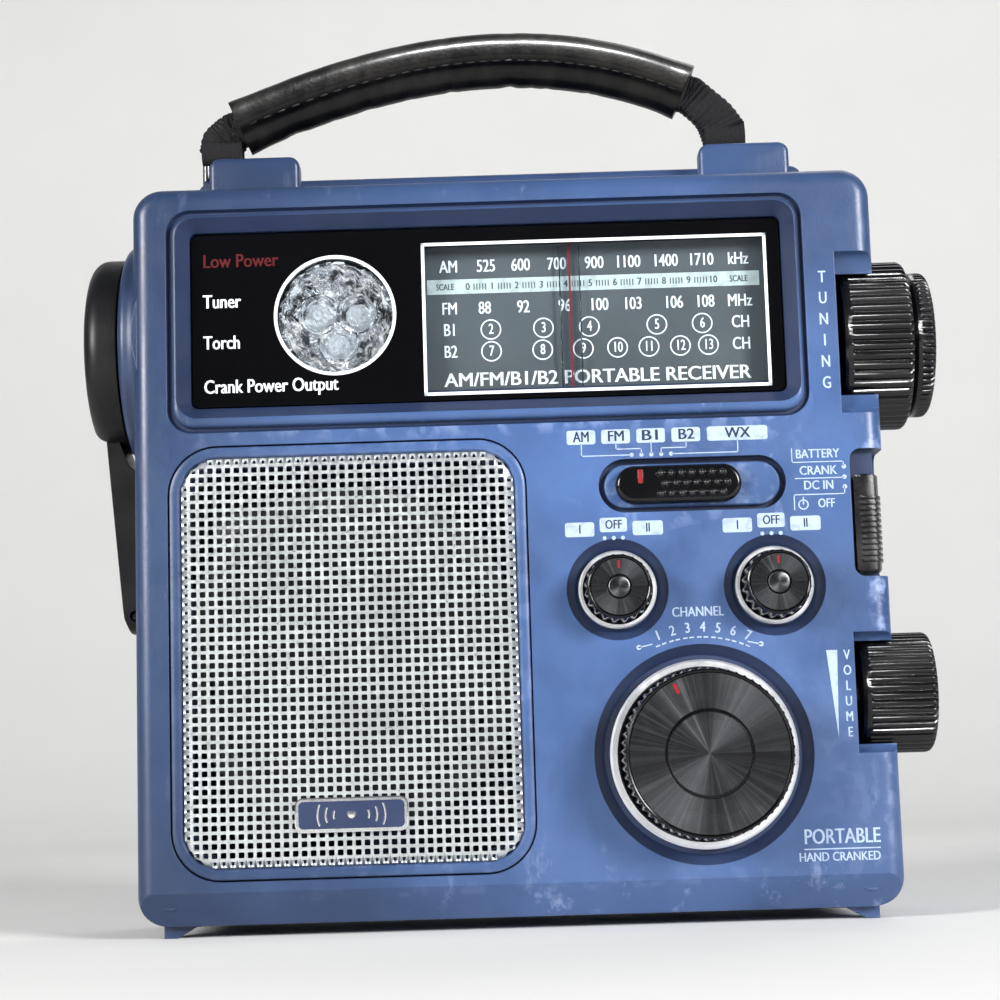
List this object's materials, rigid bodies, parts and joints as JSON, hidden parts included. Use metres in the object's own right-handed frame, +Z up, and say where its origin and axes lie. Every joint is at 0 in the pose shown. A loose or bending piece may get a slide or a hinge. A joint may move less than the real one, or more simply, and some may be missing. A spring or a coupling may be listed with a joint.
{
  "type": "emergency radio",
  "caption": "Blue portable crank-charged receiver with dial window, lamp, square-hole speaker grille, rotary knobs, side thumbwheels, aerial and carrying strap.",
  "frame": {"origin": "on the resting plane, under the middle of the bounding box", "axes": "+X the listener's right, +Y from the front panel to the back, +Z up"},
  "size_m": [0.1756, 0.0632, 0.1892],
  "materials": {
    "blue_plastic": "satin moulded",
    "smoked_window": "polished",
    "dial_plate": "printed",
    "red_plastic": "moulded",
    "steel": "bright",
    "chrome": "plated",
    "clear_lens": "clear",
    "grille_aluminium": "pressed",
    "cone_paper": "felted",
    "dark_ferrite": "sintered",
    "black_gloss": "moulded",
    "black_matte": "moulded",
    "white_nylon": "moulded",
    "circuit_board": "solder resist",
    "nickel": "plated",
    "webbing": "woven",
    "leather": "glazed",
    "pack_wrap": "shrink wrap",
    "rubber": "moulded"
  },
  "bodies": {
    "case": {"front_shell": "blue_plastic", "rear_shell": "blue_plastic", "grille_frame": "blue_plastic", "window_lens": "smoked_window", "dial_scale_plate": "dial_plate", "pointer_rail": "steel", "speaker_basket": "steel", "volume_pot": "steel", "dynamo": "steel", "case_screw_lower_left": "steel", "case_screw_lower_right": "steel", "case_screw_upper_left": "steel", "case_screw_upper_right": "steel", "lamp_reflector": "chrome", "grille_badge": "chrome", "lamp_led_left": "clear_lens", "lamp_led_right": "clear_lens", "lamp_led_lower": "clear_lens", "speaker_grille": "grille_aluminium", "speaker_cone": "cone_paper", "speaker_magnet": "dark_ferrite", "ferrite_rod": "dark_ferrite", "siren": "black_gloss", "jack_block": "black_gloss", "tuning_capacitor": "white_nylon", "main_board": "circuit_board", "aa_cell_1": "nickel", "aa_cell_2": "nickel", "aa_cell_3": "nickel", "battery_pack": "pack_wrap"},
    "band_switch": {"band_slider": "black_gloss"},
    "light_switch": {"light_knob": "black_gloss", "light_knob_ring": "chrome"},
    "alert_switch": {"alert_knob": "black_gloss", "alert_knob_ring": "chrome"},
    "weather_switch": {"weather_knob": "black_gloss", "weather_knob_ring": "chrome"},
    "tuning_wheel": {"tuning_knob": "black_gloss"},
    "fine_wheel": {"fine_tuning_knob": "black_gloss"},
    "pointer": {"tuning_pointer": "red_plastic"},
    "volume_wheel": {"volume_knob": "black_gloss"},
    "power_switch": {"power_slider": "black_gloss"},
    "crank": {"crank_hub": "black_matte", "crank_arm_pin": "steel", "drive_gear": "white_nylon"},
    "arm": {"crank_arm": "black_matte"},
    "grip": {"crank_grip": "black_matte"},
    "idler": {"idler_gear": "white_nylon"},
    "pinion": {"dynamo_pinion": "white_nylon"},
    "swivel": {"aerial_swivel": "black_matte"},
    "aerial_1": {"aerial_tube_1": "nickel"},
    "aerial_2": {"aerial_tube_2": "nickel"},
    "aerial_3": {"aerial_tube_3": "nickel"},
    "aerial_4": {"aerial_rod": "nickel"},
    "strap": {"strap_ring_left": "steel", "strap_ring_right": "steel", "strap_webbing": "webbing", "strap_grip": "leather"},
    "door": {"battery_door": "blue_plastic"},
    "flap": {"jack_flap": "rubber"}
  },
  "joints": [
    {"name": "band_slide", "type": "slide", "parent": "case", "child": "band_switch", "axis": [1, 0, 0], "range_m": [-0.00206, 0.0062]},
    {"name": "light_turn", "type": "hinge", "parent": "case", "child": "light_switch", "pos_m": [0.0206, -0.02415, 0.0667], "axis": [0, 1, 0], "range_deg": [-30, 30]},
    {"name": "alert_turn", "type": "hinge", "parent": "case", "child": "alert_switch", "pos_m": [0.0521, -0.02415, 0.0667], "axis": [0, 1, 0], "range_deg": [-30, 30]},
    {"name": "weather_turn", "type": "hinge", "parent": "case", "child": "weather_switch", "pos_m": [0.0366, -0.02415, 0.0335], "axis": [0, 1, 0], "range_deg": [0, 45]},
    {"name": "tuning_turn", "type": "hinge", "parent": "case", "child": "tuning_wheel", "pos_m": [0.0754, -0.00215, 0.1179], "axis": [-1, 0, 0], "range_deg": [-205, 295]},
    {"name": "pointer_slide", "type": "slide", "parent": "case", "child": "pointer", "axis": [1, 0, 0], "range_m": [-0.0205, 0.029]},
    {"name": "fine_tuning_turn", "type": "hinge", "parent": "case", "child": "fine_wheel", "pos_m": [0.0854, -0.00215, 0.1179], "axis": [-1, 0, 0], "range_deg": [-180, 180]},
    {"name": "volume_turn", "type": "hinge", "parent": "case", "child": "volume_wheel", "pos_m": [0.0754, -0.00795, 0.0448], "axis": [-1, 0, 0], "range_deg": [0, 290]},
    {"name": "power_slide", "type": "slide", "parent": "case", "child": "power_switch", "axis": [0, 0, 1], "range_m": [0, 0.0042]},
    {"name": "crank_spin", "type": "hinge", "parent": "case", "child": "crank", "pos_m": [-0.0856, 0.00585, 0.122], "axis": [1, 0, 0], "continuous": true},
    {"name": "arm_lift", "type": "hinge", "parent": "crank", "child": "arm", "pos_m": [-0.0844, 0.00585, 0.115], "axis": [0, 1, 0], "range_deg": [0, 20]},
    {"name": "grip_unfold", "type": "hinge", "parent": "arm", "child": "grip", "pos_m": [-0.0795, 0.00585, 0.0657], "axis": [0, -1, 0], "range_deg": [0, 95]},
    {"name": "idler_spin", "type": "hinge", "parent": "case", "child": "idler", "pos_m": [-0.0706, 0.01185, 0.09876], "axis": [1, 0, 0], "continuous": true},
    {"name": "pinion_spin", "type": "hinge", "parent": "case", "child": "pinion", "pos_m": [-0.0686, 0.01385, 0.0845], "axis": [1, 0, 0], "continuous": true},
    {"name": "aerial_swivel_turn", "type": "hinge", "parent": "case", "child": "swivel", "pos_m": [0.0574, 0.02135, 0.1525], "axis": [0, 0, 1], "range_deg": [-180, 0]},
    {"name": "aerial_raise", "type": "hinge", "parent": "swivel", "child": "aerial_1", "pos_m": [0.0574, 0.02135, 0.1567], "axis": [0, 1, 0], "range_deg": [0, 90]},
    {"name": "aerial_extend_1", "type": "slide", "parent": "aerial_1", "child": "aerial_2", "axis": [-1, 0, 0], "range_m": [0, 0.085]},
    {"name": "aerial_extend_2", "type": "slide", "parent": "aerial_2", "child": "aerial_3", "axis": [-1, 0, 0], "range_m": [0, 0.085]},
    {"name": "aerial_extend_3", "type": "slide", "parent": "aerial_3", "child": "aerial_4", "axis": [-1, 0, 0], "range_m": [0, 0.085]},
    {"name": "strap_swing", "type": "hinge", "parent": "case", "child": "strap", "pos_m": [-0.0006, -0.00095, 0.1557], "axis": [1, 0, 0], "range_deg": [-30, 18]},
    {"name": "battery_door_lift", "type": "slide", "parent": "case", "child": "door", "axis": [0, 1, 0], "range_m": [0, 0.03]},
    {"name": "jack_flap_open", "type": "hinge", "parent": "case", "child": "flap", "pos_m": [-0.0693, 0.03085, 0.021], "axis": [0, 0, 1], "range_deg": [0, 100]}
  ],
  "couplings": [
    {"joint": "pointer_slide", "follows": "tuning_turn", "m_per_rad": 0.0055},
    {"joint": "idler_spin", "follows": "crank_spin", "ratio": -3},
    {"joint": "pinion_spin", "follows": "crank_spin", "ratio": 9}
  ]
}
